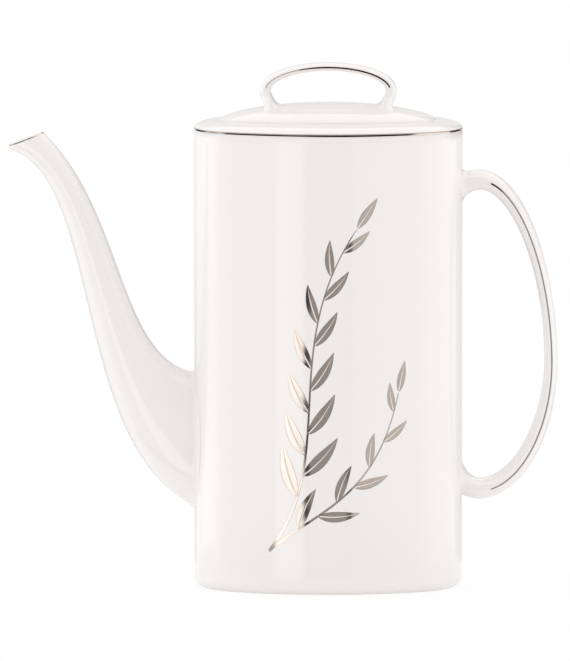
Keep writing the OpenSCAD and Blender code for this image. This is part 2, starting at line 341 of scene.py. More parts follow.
def add_piece(name, skins, material, body, slot, *nodes):
    """One mesh from skins in millimetres, with its faces turned outwards.

    It rides on a body, has the material's finish, and stands for nodes of the frame.
    The slot is not used.
    """
    points, faces, start = [], [], 0
    for some_points, some_faces in skins:
        points.append(some_points)
        faces += [face for block in some_faces for face in (block + start).tolist()]
        start += len(some_points)
    mesh = bpy.data.meshes.new(name)
    mesh.from_pydata(np.vstack(points) * MM, [], faces)
    work = bmesh.new()
    work.from_mesh(mesh)
    bmesh.ops.recalc_face_normals(work, faces=work.faces)
    work.to_mesh(mesh)
    work.free()
    mesh.shade_smooth()
    mesh.materials.append(material)
    piece = bpy.data.objects.new(name, mesh)
    bpy.context.scene.collection.objects.link(piece)
    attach(piece, body)
    if nodes:
        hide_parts(*nodes)
    size = np.round(np.array(piece.dimensions) / MM, 2).tolist()
    print(name, "has", len(mesh.polygons), "faces, size", size)


# %% [markdown]
# ## The oval
#
# Seen from above, the pot is a flat oval of four arcs: two tight ends and two long, gently bowed
# sides, each running into the next without a corner. A ring set inwards keeps the same four
# centres and takes the inset off each radius, so walls, flange and lid all run parallel to the
# outside.

# %% The oval's arcs
END_R = 28.0
END_COLUMNS = 64
SIDE_COLUMNS = 48

end_x, side_y, body_h = box_mm("pot_body")[1]
end_c = end_x - END_R
side_r = (end_c**2 + side_y**2 - END_R**2) / (2 * (side_y - END_R))
side_c = side_r - side_y
end_swing = np.arctan2(side_c, end_c)


def arc_angles(start, stop, count):
    """Evenly spaced angles from start up to, and without, stop."""
    return start + (stop - start) * np.arange(count) / count


angles = np.concatenate([
    arc_angles(-end_swing, end_swing, END_COLUMNS),
    arc_angles(end_swing, np.pi - end_swing, SIDE_COLUMNS),
    arc_angles(np.pi - end_swing, np.pi + end_swing, END_COLUMNS),
    arc_angles(np.pi + end_swing, 2 * np.pi - end_swing, SIDE_COLUMNS),
])
stretch = np.repeat(np.arange(4), [END_COLUMNS, SIDE_COLUMNS] * 2)
centres = np.array([[end_c, 0], [0, -side_c], [-end_c, 0], [0, side_c]])[stretch]
radii = np.array([END_R, side_r, END_R, side_r])[stretch]
spokes = np.stack([np.cos(angles), np.sin(angles)], -1)
print("oval of", len(angles), "columns, side radius", round(side_r, 2), "mm")

# %% Rings round the oval
INNERMOST = 0.04
FLAT_ROWS = 10


def oval_rings(profile):
    """Rings for a profile of rows (inset, height, share).

    A ring's points are arc centre + (arc radius - inset) x direction, and share draws it in
    towards the axis.
    """
    inset, height, share = (column[:, None] for column in profile.T)
    flat = (centres + (radii - inset)[..., None] * spokes) * share[..., None]
    return np.concatenate([flat, np.broadcast_to(height[..., None], flat.shape[:2] + (1,))], -1)


def rows(inset, height, share=1.0):
    """Profile rows from numbers or arrays of one length."""
    return np.stack(np.broadcast_arrays(*np.atleast_1d(inset, height, share)), -1).astype(float)


def round_rows(inset, height, radius, start, stop, count):
    """Profile rows on a circle about (inset, height), from one angle in degrees to another."""
    turn = np.radians(np.linspace(start, stop, count))
    return rows(inset + radius * np.cos(turn), height + radius * np.sin(turn))


def middle_rows(inset, height, outwards=False):
    """Profile rows across a flat, from the ring at inset in towards the axis, or the other way."""
    share = np.linspace(1, INNERMOST, FLAT_ROWS)
    return rows(inset, height, share[::-1] if outwards else share)


# %% [markdown]
# ## The body
#
# The body is cast in a plaster mould as one even wall with a rounded heel, a low foot ring and a
# coved floor. It could be a box with bevels, but a profile carried round the oval gives each of
# those its own radius and keeps the wall's thickness true. The wall behind the spout has an
# upright slot for the coffee. There the grid opens in a window, and a collar of faces runs from
# the window's edge to the slot's edge, outside and inside, with the cut face of the slot between
# them.

# %% The body's profile
WALL = 3.2
FLOOR_T = 4.0
FOOT_ROUND = 4.6
FOOT_W = 4.0
FOOT_LIFT = 1.6
COVE_R = 7.0
FOOT_EDGE = 0.5
RIM_EDGE = 0.7
WINDOW_Z = (33.0, 101.0)
WINDOW_ROWS = 34
WINDOW_HALF = 14

FILM_SEAT = 0.12
RIM_LINE = 0.74

line_low = body_h - RIM_LINE
floor_z = FOOT_LIFT + FLOOR_T


def body_profile():
    """Rows from the middle of the underside to the middle of the floor.

    They go out over the foot, up the wall, over the rim and down the inside.
    """
    foot_in = FOOT_ROUND + FOOT_W
    window = np.linspace(*WINDOW_Z, WINDOW_ROWS)
    inner_low = floor_z + COVE_R
    return np.concatenate([
        middle_rows(foot_in, FOOT_LIFT, outwards=True),
        round_rows(foot_in - FOOT_EDGE, FOOT_EDGE, FOOT_EDGE, 0, -90, 5),
        round_rows(FOOT_ROUND, FOOT_ROUND, FOOT_ROUND, 270, 180, 12),
        rows(0, np.linspace(FOOT_ROUND, WINDOW_Z[0], 10)[1:-1]),
        rows(0, window),
        rows(0, np.linspace(WINDOW_Z[1], line_low, 24)[1:]),
        rows(FILM_SEAT, [line_low, body_h - FILM_SEAT]),
        round_rows(2 * FILM_SEAT, body_h - FILM_SEAT, FILM_SEAT, 150, 90, 3),
        round_rows(WALL - RIM_EDGE, body_h - RIM_EDGE, RIM_EDGE, 90, 0, 6),
        rows(WALL, np.linspace(body_h - RIM_EDGE, WINDOW_Z[1], 24)[1:-1]),
        rows(WALL, window[::-1]),
        rows(WALL, np.linspace(WINDOW_Z[0], inner_low, 6)[1:]),
        round_rows(WALL + COVE_R, inner_low, COVE_R, 180, 270, 12)[1:],
        middle_rows(WALL + COVE_R, floor_z)[1:],
    ])


profile = body_profile()
print("body profile of", len(profile), "rows")

# %% The pouring slot's collar
SPOUT_LOW = 36.5
SPOUT_HIGH = 97.0
ROOT_D = 21.0
SPOUT_WALL = 2.4
HOLE_MARGIN = 2.5
COLLAR_SHARES = np.array([0.0, 0.12, 0.35, 0.65])

slot_edge = SPOUT_WALL + HOLE_MARGIN
slot_r = ROOT_D / 2 - slot_edge
slot_low = SPOUT_LOW + slot_edge + slot_r
slot_high = SPOUT_HIGH - slot_edge - slot_r


def end_face(y, radius):
    """X of the body's spout end at y, on a face of that radius about the end's centre."""
    return -end_c - np.sqrt(radius**2 - y**2)


def window_loop(index, row, columns):
    """Indices round a window of the grid, whose rows run upwards.

    They go along the sill, up, back along the top and down.
    """
    left, right = columns
    return np.concatenate([
        index[row[0], left:right],
        index[row[:-1], right],
        index[row[-1], right:left:-1],
        index[row[:0:-1], left],
    ])


def slot_collar(points, loop, inset, start):
    """Points and index rows of a collar from the slot to a window's loop.

    Each window point looks at the nearest point of the slot's middle line. The slot's edge lies
    slot_r from there, and the collar's rows share out the way from that edge to the window.
    """
    edge = points[loop][:, 1:]
    middle = np.stack([np.zeros(len(loop)), np.clip(edge[:, 1], slot_low, slot_high)], -1)
    away = edge - middle
    slot = middle + slot_r * away / np.linalg.norm(away, axis=1, keepdims=True)
    flat = slot + COLLAR_SHARES[:, None, None] * (edge - slot)
    x = end_face(flat[..., :1], END_R - inset)
    made = np.concatenate([x, flat], -1).reshape(-1, 3)
    index = start + np.arange(len(made)).reshape(len(COLLAR_SHARES), -1)
    return made, np.vstack([index, loop])


print("pouring slot from", round(slot_low - slot_r, 1), "to", round(slot_high + slot_r, 1), "mm up")

# %% The body's skin


def body_skin():
    """The skin of the body's profile, with the slot set in a window in both faces of the wall."""
    rings = oval_rings(profile)
    under, floor = (profile[i, 1] * np.array([0, 0, 1]) for i in (0, -1))
    points, faces = skin(rings, under, floor)
    count = rings.shape[1]
    index = np.arange(rings.shape[0] * count).reshape(-1, count)
    apex = END_COLUMNS + SIDE_COLUMNS + END_COLUMNS // 2
    columns = (apex - WINDOW_HALF, apex + WINDOW_HALF)
    inside = (profile[:, 1] >= WINDOW_Z[0]) & (profile[:, 1] <= WINDOW_Z[1])
    outer = np.flatnonzero(inside & (profile[:, 0] == 0))
    inner = np.flatnonzero(inside & (profile[:, 0] == WALL))[::-1]
    keep = np.ones((len(profile) - 1, count), bool)
    keep[outer[0] : outer[-1], columns[0] : columns[1]] = False
    keep[inner[-1] : inner[0], columns[0] : columns[1]] = False
    faces[0] = faces[0][keep.ravel()]
    slots = []
    for row, inset in ((outer, 0.0), (inner, WALL)):
        loop = window_loop(index, row, columns)
        made, collar = slot_collar(points, loop, inset, len(points))
        points = np.vstack([points, made])
        faces.append(bands(collar))
        slots.append(collar[0])
    faces.append(bands(np.array(slots)))
    return points, faces


add_piece("body_china", [body_skin()], china, "pot", "china", "pot_body")

# %% [markdown]
# ## The spout
#
# The swan-neck spout is cast apart, trimmed to the curve of the body's end and stuck on with
# slip. In side view it has two outlines, an upper and a lower curve, and every section is an
# ellipse that spans them, so the spout is those ellipses in a row. The same ellipses, a wall
# smaller, make the bore. At the root a bead of slip and glaze fills the corner, so the last two
# millimetres flare out over the body.

# %% The spout's outlines
LIP_WALL = 1.8
LIP_D = 15.0
LIP_PINCH = 6.0
LIP_L = 17.75
LIP_TILT = np.radians(24.2)
TIP_H = 198.6
NOSE = np.array([1.2, 1.5])
SPOUT_LEAD = 1.4
SPOUT_COLUMNS = 96
UPPER_PULLS = ((-34.4, 6.2), (37.2, -35.7))
LOWER_PULLS = ((-57, 27), (43.5, -10.3))

tip = np.array([box_mm("spout_lip_band")[0][0] - NOSE[0], TIP_H])
lip_heel = tip + LIP_L * np.array([np.cos(LIP_TILT), np.sin(LIP_TILT)])
round_angle = 2 * np.pi * np.arange(SPOUT_COLUMNS) / SPOUT_COLUMNS


def curve_points(root, lip, pulls):
    """The four points of a cubic curve from root to lip, which leaves each along its pull."""
    return np.array([root, np.add(root, pulls[0]), np.add(lip, pulls[1]), lip], float)


def cubic(points, t):
    """Points at t on a cubic curve: each of its four points weighted by (1 - t) and t in turn."""
    weights = np.stack([(1 - t) ** 3, 3 * t * (1 - t) ** 2, 3 * t**2 * (1 - t), t**3], -1)
    return weights @ points


upper_line = curve_points((-end_x, SPOUT_HIGH), lip_heel, UPPER_PULLS)
lower_line = curve_points((-end_x, SPOUT_LOW), tip, LOWER_PULLS)
print("lip from", np.round(tip, 1).tolist(), "to", np.round(lip_heel, 1).tolist())

# %% The spout's sections


def spout_rings(t, grow, lift=0.0):
    """Ellipses of the spout at t, an array (rows x columns) from 0 at the body to 1 at the lip.

    The ellipse spans the upper and lower line, and its depth runs from the root's to the lip's,
    where it is pinched. grow widens it all round, and is less than 0 for the bore. lift raises
    its lower end up the nose.
    """
    up = cubic(upper_line, t)
    low = cubic(lower_line, t + SPOUT_LEAD * t * (1 - t) ** 3) + lift * NOSE
    middle = (up + low) / 2
    half = (up - low) / 2
    half = half * (1 + grow / np.linalg.norm(half, axis=-1))[..., None]
    deep = (LIP_D + (ROOT_D - LIP_D) * (1 - t) ** 2 - LIP_PINCH * t**4) / 2 + grow
    side = middle + half * np.cos(round_angle)[:, None]
    return np.stack([side[..., 0], deep * np.sin(round_angle), side[..., 1]], -1)


def bore_inset(t):
    """Wall of the spout at t, from the root's to the lip's."""
    return SPOUT_WALL + (LIP_WALL - SPOUT_WALL) * t


# %% The spout's root and length
SPOUT_BEAD = 2.2
BORE_BEAD = 0.001
ROOT_SINK = 0.25
ROOT_RUN = 8.0
ROOT_SPEED = 110.0
ROOT_CROWD = 1.5
ROOT_ROWS = 20
SPOUT_ROWS = 110

lip_speed = 3 * np.linalg.norm(UPPER_PULLS[1])


def bead(distance, reach, height=None):
    """How far a bead stands out at a distance from the face that it meets.

    It is a hollow quarter of an ellipse, as high as its reach if no height is given.
    """
    gap = np.clip(1 - distance / reach, 0, 1)
    return (reach if height is None else height) * (1 - np.sqrt(1 - gap**2))


def spout_side(grow, bead_r, short):
    """Rows of one face of the spout, from the body out to a short way before the lip.

    Near the root a point's way along the spout, in millimetres, runs from the body's face, which
    lies behind the first ellipse where that is wide. Behind it the section is drawn straight back.
    """
    first = spout_rings(np.zeros((1, SPOUT_COLUMNS)), grow(0.0))[0]
    back = end_face(first[:, 1], END_R - ROOT_SINK) + end_x
    share = np.linspace(0, 1, ROOT_ROWS)[:, None] ** ROOT_CROWD
    way = share * (back + ROOT_RUN) - back
    t = np.maximum(way, 0) / ROOT_SPEED
    root = spout_rings(t, grow(t) + bead(share * (back + ROOT_RUN), bead_r))
    root[..., 0] += np.maximum(-way, 0)
    root[0, :, 0] = end_face(root[0, :, 1], END_R - ROOT_SINK)
    length = np.linspace(ROOT_RUN / ROOT_SPEED, 1 - short / lip_speed, SPOUT_ROWS)
    length = length[1:, None] * np.ones(SPOUT_COLUMNS)
    return np.concatenate([root, spout_rings(length, grow(length))])


# %% The spout's lip and skin
LIP_LINE = 0.45
LIP_SEAT = 0.1
LIP_ROUND = 0.8
LIP_STEPS = 9
BORE_SHORT = 3 * LIP_ROUND
NOSE_SHORT = np.array([0.62, 0.55, 0.5, 0.47, LIP_LINE])
NOSE_LIFT = np.array([0.0, 0.06, 0.22, 0.5, 0.75])
SEAT_SHORT = 0.05
SEAT_LIFT = 0.97


def lip_rows(short, grow, lift):
    """Ellipses of the lip: how far short of its end, how much wider, and how far up the nose."""
    parts = np.broadcast_arrays(*np.atleast_1d(short, grow, lift))
    short, grow, lift = (part[:, None] for part in parts)
    return spout_rings(1 - short / lip_speed * np.ones(SPOUT_COLUMNS), grow, lift[..., None])


def spout_skin():
    """The outside, the blunt nose, a seat for the platinum, the round lip and the bore.

    The bore ends on the body's face, where the last row joins the first.
    """
    turn = np.radians(np.linspace(0, 90, LIP_STEPS))
    outside = spout_side(lambda t: 0.0 * t, SPOUT_BEAD, NOSE_SHORT[0])
    nose = lip_rows(NOSE_SHORT[1:], 0.0, NOSE_LIFT[1:])
    seat = lip_rows([LIP_LINE, SEAT_SHORT], -LIP_SEAT, [NOSE_LIFT[-1], SEAT_LIFT])
    inner = LIP_WALL - 2 * LIP_SEAT
    drawn_in = -2 * LIP_SEAT - inner * np.sin(turn)
    rounded = lip_rows(LIP_ROUND * (1 - np.cos(turn)), drawn_in, 1.0)
    bore = spout_side(lambda t: -bore_inset(t), BORE_BEAD, BORE_SHORT)
    return skin(np.concatenate([outside, nose, seat, rounded, bore[::-1]]), wrap=True)


add_piece("spout_china", [spout_skin()], china, "pot", "china", "spout")

# %% [markdown]
# ## The handle
#
# The handle is one bar, bent to a tall D: two short level arms and a bow of two quarter ellipses.
# It is slimmest at the middle of the bow and swells towards the arms. A bar is an oval section
# carried along its middle line, and the section's long side stays square to that line. Towards
# the body each arm flares on its inner side, as clay does that is smoothed in with a thumb, and
# ends in a small bead all round.

# %% The handle's bow
ARM_HIGH = 184.3
BOW_H = 102.3
ARM_LOW = 44.3
ARM_L = 8.0
ARM_T_HIGH = 9.1
ARM_T_LOW = 9.6
BOW_T = 5.94
BAR_D = 10.5
BOW_POWER = (1.054, 1.038)
BAR_SWELL = (1.22, 0.6)
BAR_COLUMNS = 64
BOW_ROWS = 160
COS_FLOOR = 1e-9
CREST_SIN = 1e-6

bow_c = end_x + ARM_L
bow_rx = box_mm("handle")[1][0] - bow_c - BOW_T / 2
bar_angle = 2 * np.pi * np.arange(BAR_COLUMNS) / BAR_COLUMNS


def unit(v):
    """Vectors of length 1 along the given ones."""
    return v / np.linalg.norm(v, axis=-1, keepdims=True)


def bar_rings(middle, across, thick, deep, full=0.0):
    """Ovals of a bar: middle + across x thick / 2 x cos, and deep / 2 x sin along Y.

    The cos is taken to the power 1 - full, which blunts the oval's front and back.
    """
    cos = np.cos(bar_angle)
    wide = (thick / 2)[:, None] * np.sign(cos) * np.abs(cos) ** (1 - full)
    flat = middle[:, None] + across[:, None] * wide[..., None]
    depth = (deep / 2)[:, None] * np.sin(bar_angle)
    return np.stack([flat[..., 0], depth, flat[..., 1]], -1)


def bow_line(turn):
    """Middle line, outward direction and thickness of the bow at a turn from -pi / 2 to pi / 2.

    The line is reach x cos(turn) out and rise x sin(turn) up. Both are taken to a power a little
    over 1, which draws the shoulders in. The thickness swells with (1 - cos(turn)) to a power.
    The halves differ in both.
    """
    upper = turn > 0
    rise = np.where(upper, ARM_HIGH - BOW_H, BOW_H - ARM_LOW)
    power, swell = np.where(upper, *BOW_POWER), np.where(upper, *BAR_SWELL)
    cos, sin = np.maximum(np.cos(turn), COS_FLOOR), np.sin(turn)
    out, up = cos**power, np.sign(sin) * np.abs(sin) ** power
    middle = np.stack([bow_c + bow_rx * out, BOW_H + rise * up], -1)
    across = np.stack([rise * cos**2 * np.abs(up), bow_rx * sin**2 * out * np.sign(sin)], -1)
    across = unit(across)
    across[np.abs(sin) < CREST_SIN] = (1, 0)
    arm = np.where(upper, ARM_T_HIGH, ARM_T_LOW)
    return middle, across, BOW_T + (arm - BOW_T) * (1 - cos) ** swell


print("handle's bow reaches", round(bow_rx, 1), "mm out of its arms")

# %% The handle's arms
SIDE_BEAD = 2.6
ARM_CROWD = 1.6
ARM_ROWS = 18


def arm_rings(height, up, thick, flare, dip, edge_bead):
    """Rows of an arm from the body's face out to the bow.

    Towards the body the side within the bow flares all along the arm. The outer side dips and
    then rises in a bead, and the two faces have a bead too. The foot is fitted to the body's
    round end.
    """
    out = ARM_L * np.linspace(0, 1, ARM_ROWS)[:-1] ** ARM_CROWD
    near = (1 - out / ARM_L) ** 2
    inside = bead(out, ARM_L, flare)
    outside = bead(out, edge_bead) - dip * near
    middle = np.stack([end_x + out, height + up * (outside - inside) / 2], -1)
    across = np.broadcast_to([0.0, up], (len(out), 2))
    deep = BAR_D + 2 * bead(out, SIDE_BEAD)
    rings = bar_rings(middle, across, thick + outside + inside, deep)
    rings[..., 0] += near[:, None] * (-end_face(rings[..., 1], END_R - ROOT_SINK) - end_x)
    return rings


def handle_rings():
    """Rings of the whole bar, from the lower arm's foot over the bow to the upper arm's foot."""
    turn = np.linspace(-np.pi / 2, np.pi / 2, BOW_ROWS)
    low = arm_rings(ARM_LOW, -1.0, ARM_T_LOW, flare=11.4, dip=2.0, edge_bead=0.6)
    bow = bar_rings(*bow_line(turn), np.full(BOW_ROWS, BAR_D))
    high = arm_rings(ARM_HIGH, 1.0, ARM_T_HIGH, flare=7.7, dip=1.1, edge_bead=2.6)
    return np.concatenate([low, bow, high[::-1]])


add_piece("handle_china", [closed(handle_rings())], china, "pot", "china", "handle")

# %% [markdown]
# ## The lid
#
# The lid is a flat ring with a rounded shoulder, a fine step, and a low dome over it. A deep
# flange under the ring drops into the mouth and keeps the lid on while pouring. The ring and
# flange are a profile round the oval like the body. The dome's rings are the oval of the step
# drawn in towards the axis, each a little higher.

# %% The lid's dome and shoulder
SHOULDER_H = 3.3
SHOULDER_W = 8.0
SHOULDER_FULLNESS = 1.3
SHOULDER_ROWS = 20
RING_H = 3.5
STEP_IN = 12.0
STEP_H = 0.5
DOME_H = 7.2
DOME_FULLNESS = 1.4
DOME_TURN = 88
DOME_CROWD = 1.3
DOME_ROWS = 48
LID_EDGE = 0.3

dome_base = RING_H + STEP_H


def dome_rows(inset, drop):
    """Rows of the dome from its middle to its edge.

    At an angle b the share is cos(b) and the height is dome_h x sin(b) to the fullness.
    """
    b = np.radians(DOME_TURN * np.linspace(1, 0, DOME_ROWS) ** DOME_CROWD)
    return rows(inset, dome_base - drop + DOME_H * np.sin(b) ** DOME_FULLNESS, np.cos(b))


def shoulder_rows():
    """Rows of the ring's shoulder, down to its edge.

    At an angle u the inset is w x (1 - cos(u)) and the height is h x sin(u) to the fullness.
    """
    u = np.radians(np.linspace(90, 0, SHOULDER_ROWS))
    height = LID_EDGE + (SHOULDER_H - LID_EDGE) * np.sin(u) ** SHOULDER_FULLNESS
    return rows(SHOULDER_W * (1 - np.cos(u)), height)


# %% The lid's profile
LID_T = 3.2
FLANGE_H = 14.0
FLANGE_T = 2.6
FLANGE_GAP = 0.8
UNDER_R = 1.0
GUTTER = 0.4

lid_z = box_mm("lid")[0][2] + FLANGE_H


def lid_profile():
    """Rows from the top of the dome to the middle of its underside.

    They go over the ring and the shoulder, round the flange and back under the dome.
    """
    flange = WALL + FLANGE_GAP
    flange_back = flange + FLANGE_T
    flange_mid = FLANGE_T / 2
    flange_end = flange_mid - FLANGE_H
    under = dome_base - LID_T
    return np.concatenate([
        dome_rows(STEP_IN, 0),
        rows(STEP_IN, RING_H + GUTTER),
        round_rows(STEP_IN - GUTTER, RING_H + GUTTER, GUTTER, 0, -90, 6)[1:],
        rows(np.linspace(STEP_IN - 2 * GUTTER, SHOULDER_W, 6), np.linspace(RING_H, SHOULDER_H, 6)),
        shoulder_rows()[1:],
        round_rows(LID_EDGE, LID_EDGE, LID_EDGE, 180, 270, 5)[1:],
        rows(np.linspace(LID_EDGE, flange - LID_EDGE, 5)[1:], 0),
        round_rows(flange - LID_EDGE, -LID_EDGE, LID_EDGE, 90, 0, 4)[1:],
        rows(flange, np.linspace(-LID_EDGE, flange_end, 8)[1:]),
        round_rows(flange + flange_mid, flange_end, flange_mid, 180, 360, 12)[1:],
        rows(flange_back, np.linspace(flange_end, under - UNDER_R, 8)[1:]),
        round_rows(flange_back + UNDER_R, under - UNDER_R, UNDER_R, 180, 90, 6)[1:],
        rows(STEP_IN + LID_T - UNDER_R, under),
        dome_rows(STEP_IN + LID_T, LID_T)[::-1],
    ])


lid_rings = oval_rings(lid_profile() + [0, lid_z, 0])
lid_poles = [np.array([0, 0, lid_z + dome_base + DOME_H - drop]) for drop in (0, LID_T)]
add_piece("lid_china", [skin(lid_rings, *lid_poles)], china, "lid", "china", "lid")

# %% [markdown]
# ## The loop on the lid
#
# The lid is lifted by a slim loop that stands on the dome on two flared feet. It is a bar like
# the handle's, on a middle line of two half ellipses. Near the dome each section turns level,
# follows the dome's fall and grows into a fillet, so the feet sit flat on the curved lid.

# %% The loop's middle line
LOOP_L = 56.6
LOOP_MID = 16.8
LOOP_RISE = 10.6
LOOP_DROP = 14.4
SEARCH_TURN = 1.4
SEARCH_STEPS = 4000


def dome_height(x, y):
    """Height of the dome over the lid's seat, out where its rings are round ends drawn in.

    The share is the smaller root of |point - share x end centre| = share x end radius.
    """
    radius = END_R - STEP_IN
    spread = end_c**2 - radius**2
    along = np.abs(x) * end_c
    share = (along - np.sqrt(np.maximum(along**2 - spread * (x**2 + y**2), 0))) / spread
    return dome_base + DOME_H * (1 - share**2) ** (DOME_FULLNESS / 2)


def loop_line(turn):
    """Middle line of the loop, with its top at a turn of pi / 2, and its rise or drop there."""
    reach = np.where(np.sin(turn) > 0, LOOP_RISE, LOOP_DROP)
    return np.stack([LOOP_L / 2 * np.cos(turn), LOOP_MID + reach * np.sin(turn)], -1), reach


def loop_foot():
    """Turn below the loop's widest point at which its middle line meets the dome."""
    turn = np.linspace(0, SEARCH_TURN, SEARCH_STEPS)
    line, _ = loop_line(-turn)
    return turn[np.argmax(line[:, 1] < dome_height(line[:, 0], 0))]


foot_turn = loop_foot()
print("loop meets the dome", round(np.degrees(foot_turn), 1), "degrees below its widest point")

# %% The loop's bar
LOOP_TOP_T = 3.8
LOOP_END_T = 5.0
LOOP_D = 7.6
LOOP_FILLET = 1.6
FOOT_RISE = 7.5
FOOT_SPREAD = 7.8
FOOT_SPLAY = 2.6
FOOT_FULL = 0.5
LOOP_ROWS = 180


def loop_shape(turn):
    """Middle line, direction of thickness, thickness and depth of the loop's bar.

    The last value is how near the dome it is, from 0 to 1.
    """
    line, reach = loop_line(turn)
    over = line[:, 1] - dome_height(line[:, 0], 0)
    free = np.clip(over / LOOP_END_T, 0, 1)[:, None]
    outward = unit(np.stack([np.cos(turn) / LOOP_L * 2, np.sin(turn) / reach], -1))
    level = np.stack([np.sign(line[:, 0]), np.zeros(len(turn))], -1)
    over = np.maximum(over, 0)
    thick = LOOP_END_T + (LOOP_TOP_T - LOOP_END_T) * np.maximum(0, np.sin(turn))
    thick = thick + 2 * bead(over, LOOP_FILLET)
    deep = LOOP_D + 2 * bead(over, FOOT_RISE, FOOT_SPREAD)
    return line, unit(outward * free + level * (1 - free)), thick, deep, 1 - free


def loop_rings():
    """Ovals of the loop from foot to foot.

    Near the dome a section is blunter, its front and back splay outwards by sin^2, and its
    heights follow the dome's fall.
    """
    ease = np.sin(np.pi / 2 * np.linspace(-1, 1, LOOP_ROWS))
    turn = np.pi / 2 + (np.pi / 2 + foot_turn) * ease
    line, across, thick, deep, near = loop_shape(turn)
    made = bar_rings(line, across, thick, deep, FOOT_FULL * near)
    made[..., 0] += FOOT_SPLAY * near * np.sign(line[:, :1]) * np.sin(bar_angle) ** 2
    fall = dome_height(made[..., 0], made[..., 1]) - dome_height(line[:, 0], 0)[:, None]
    made[..., 2] += lid_z + fall * near
    made[[0, -1], :, 2] -= ROOT_SINK
    return made


add_piece("loop_china", [closed(loop_rings())], china, "lid", "china", "lid_loop")

# %% [markdown]
# ## Platinum on the rim and the lip
#
# A platinum line runs round the top of the body, just under the lid, and another edges the
# spout's lip. On the pot they are a skin of metal on an edge that flares by a hair. Here each is
# a thin closed band in a seat in the china. Its face is flat and leans out, so that it mirrors
# what lies low in front, as the real line does.

# %% Rim and lip bands
FILM_PROUD = 0.01
FILM_LEAN = np.tan(np.radians(15.7))
SEAT_DIP = 1.4
RIM_SWELL = 0.2
RIM_PRESS = 11.0
RIM_PRESS_W = 26.0
FACE = np.array([0, 0.06, 0.1, 0.9, 0.94, 1])
FACE_UP = np.array([0, 1, 1, 1, 1, 0])


def leaning_face(width):
    """How far a band stands out across its width: flat, leaning out, with rounded edges."""
    return FACE_UP * (FILM_PROUD + FILM_LEAN * width * FACE)


def rim_rings():
    """A thin upright band round the oval: its leaning face, and its back in the china's seat.

    The brush pressed harder near RIM_PRESS, where the lower edge sinks by a bell curve. The upper
    edge comes out with it, which keeps the lean.
    """
    outer = rows(-leaning_face(RIM_LINE), line_low + RIM_LINE * FACE)
    back = rows(SEAT_DIP * FILM_SEAT, outer[::-1, 1])
    made = oval_rings(np.concatenate([outer, back]))
    press = RIM_SWELL * np.exp(-(((made[..., 0] - RIM_PRESS) / RIM_PRESS_W) ** 2))
    up = (made[..., 2] - line_low) / RIM_LINE
    made[..., 1] += np.sign(made[..., 1]) * FILM_LEAN * press * up
    made[..., 2] -= press * (1 - up)
    return made


def lip_rings():
    """A thin band round the outside of the lip: its leaning face, and its back in the seat."""
    short = LIP_LINE * (1 - FACE)
    lift = NOSE_LIFT[-1] + (1 - NOSE_LIFT[-1]) * FACE
    outer = lip_rows(short, leaning_face(LIP_LINE), lift)
    back = lip_rows(short[::-1], -SEAT_DIP * LIP_SEAT, lift[::-1])
    return np.concatenate([outer, back])


for name, rings, stands_for in (
    ("rim_platinum", rim_rings(), "rim_band"),
    ("lip_platinum", lip_rings(), "spout_lip_band"),
):
    add_piece(name, [skin(rings, wrap=True)], platinum, "pot", "platinum", stands_for)

# %% [markdown]
# ## Lines on the handle and the loop
#
# One brushed line follows the crest of the handle on each side, and another the crest of the
# loop. A line is a narrow flat strip on the bar's side, a few hundredths of a millimetre up, and
# its back dips into the china so that no gap shows. The hand that drew it drifts: the handle's
# line starts on the crest and ends outside it.

# %% Brushed lines
LINE_FILM = 0.04
LINE_DIP = 0.08
LINE_EASE = 0.35
LINE_ROWS = 200


def line_rings(middle, across, thick, deep, drift, width, lean, side):
    """Flat rings of a line along a bar's side, at a drift outwards from its crest.

    The bar's side at v from the crest is deep / 2 x sqrt(1 - (v / half thick)^2), and the line's
    back follows it. The face is flat: it turns by a part of the bar's slope there, and leans a
    little more inwards.
    """
    along = (thick / 2, deep / 2, drift, width, lean)
    half, crest, drift, width, lean = (row[:, None] for row in along)
    v = drift + width * (FACE - 0.5)
    back = crest * np.sqrt(1 - (v / half) ** 2) - LINE_DIP
    round_off = np.sqrt(1 - (drift / half) ** 2)
    slope = lean - LINE_EASE * crest * drift / (half**2 * round_off)
    film = LINE_FILM + np.abs(lean) * width / 2
    face = crest * round_off + slope * (v - drift) + film * FACE_UP
    v = np.concatenate([v, v[:, ::-1]], 1)
    flat = middle[:, None] + across[:, None] * v[..., None]
    out = side * np.concatenate([face, back[:, ::-1]], 1)
    return np.stack([flat[..., 0], out, flat[..., 1]], -1)


def add_lines(bar, body, *line):
    """The same line on the front and on the back of a bar."""
    for side, word in ((-1, "front"), (1, "back")):
        skins = [closed(line_rings(*line, side))]
        name, stands_for = f"{bar}_platinum_{word}", f"{bar}_line_{word}"
        add_piece(name, skins, platinum, body, "platinum", stands_for)


# %% The handle's line
HANDLE_SPAN = (-81, 81)
HANDLE_DRIFT = (0.32, 0.36)
HANDLE_LINE = (0.7, 0.95)
HANDLE_LEAN = (0.06, 0.14)
START_POWER = 12

turn = np.radians(np.linspace(*HANDLE_SPAN, LINE_ROWS))
sin = np.sin(turn)
start = np.maximum(sin, 0) ** START_POWER
drift = HANDLE_DRIFT[0] - HANDLE_DRIFT[1] * sin
width = HANDLE_LINE[0] + (HANDLE_LINE[1] - HANDLE_LINE[0]) * start
lean = HANDLE_LEAN[0] * np.sqrt(np.maximum(-sin, 0)) + HANDLE_LEAN[1] * start
add_lines("handle", "pot", *bow_line(turn), np.full(LINE_ROWS, BAR_D), drift, width, lean)

# %% The loop's line
LOOP_SPAN = (8, 174)
LOOP_WIDENS = np.radians([125, 100])
LOOP_DRIFT = (0.16, 0.12, 0.15)
DRIFT_POWER = 4
LOOP_LINE = (0.38, 0.85)
LOOP_LEAN = 0.1
LEAN_POWER = 1.2

